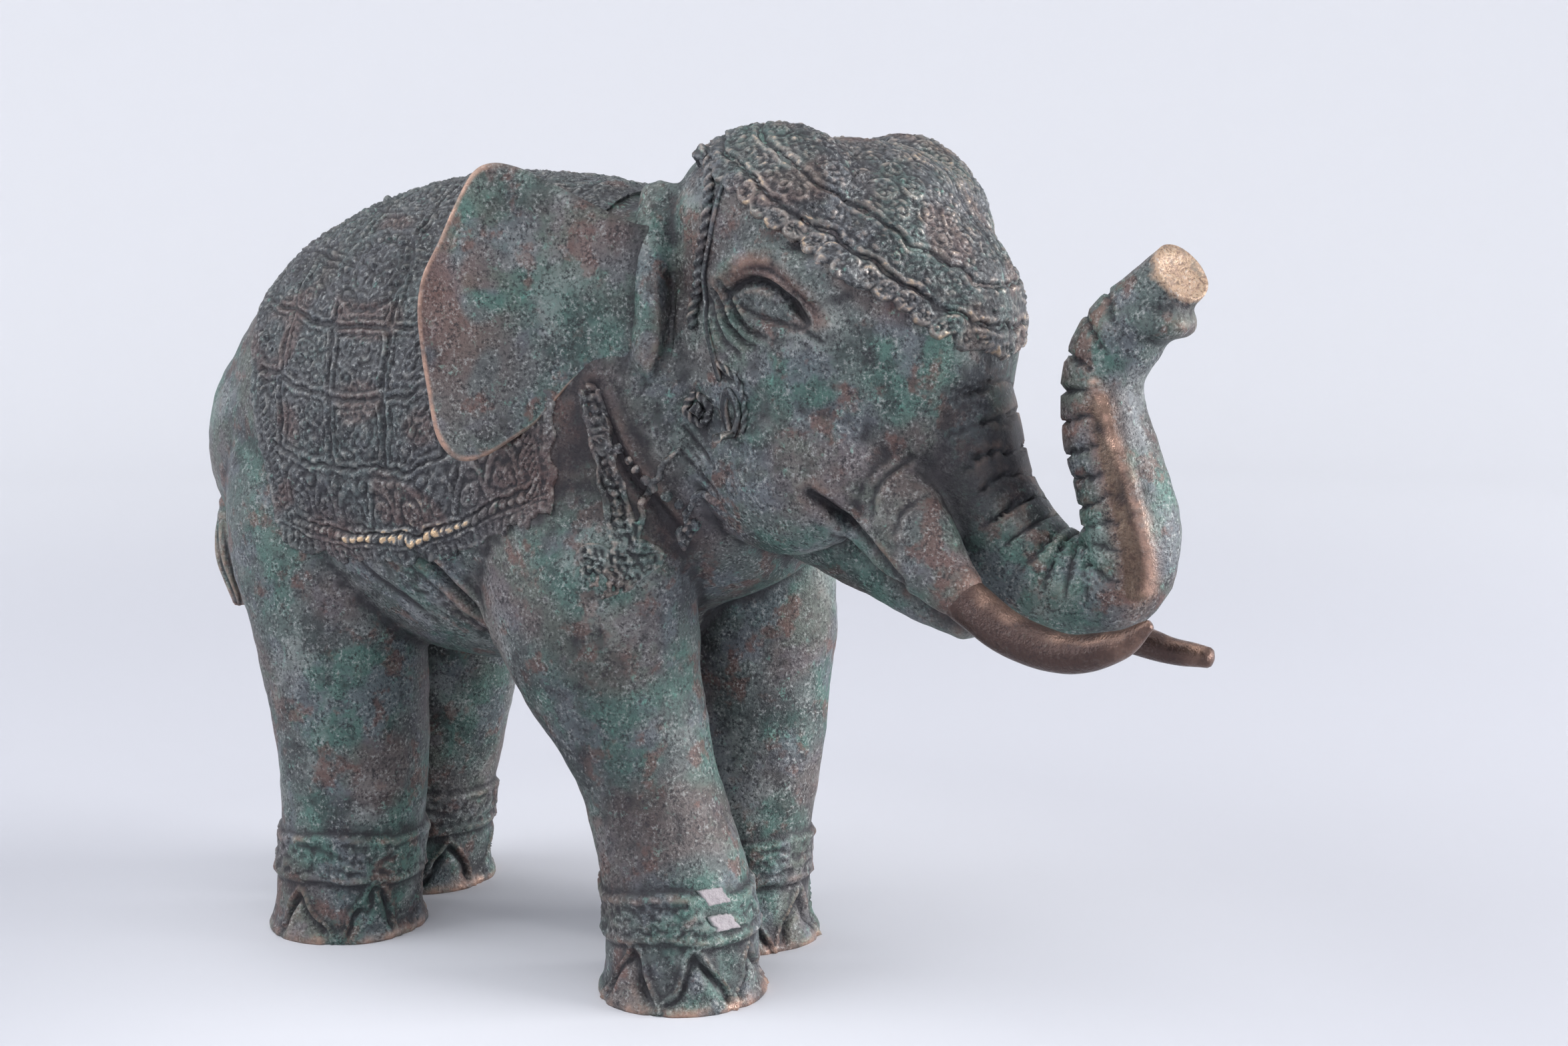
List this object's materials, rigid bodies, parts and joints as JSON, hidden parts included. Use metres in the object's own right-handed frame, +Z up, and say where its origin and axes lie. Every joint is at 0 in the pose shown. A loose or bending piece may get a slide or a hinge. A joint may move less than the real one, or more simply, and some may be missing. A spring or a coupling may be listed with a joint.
{
  "type": "bronze elephant sculpture",
  "caption": "Cast bronze elephant standing with its trunk raised, with tusks, spread ears, a patterned saddle cloth, head cap and anklets under a green patina.",
  "frame": {"origin": "on the ground, under the middle of the box around the whole figure", "axes": "+Z up, -Y the way the elephant faces, +X its left side"},
  "size_m": [0.1188, 0.2612, 0.1887],
  "materials": {
    "patinated_bronze": "dark bronze with a grey-green patina, reddish wear and granular speckle"
  },
  "bodies": {
    "root": {"elephant": "patinated_bronze"}
  },
  "joints": []
}
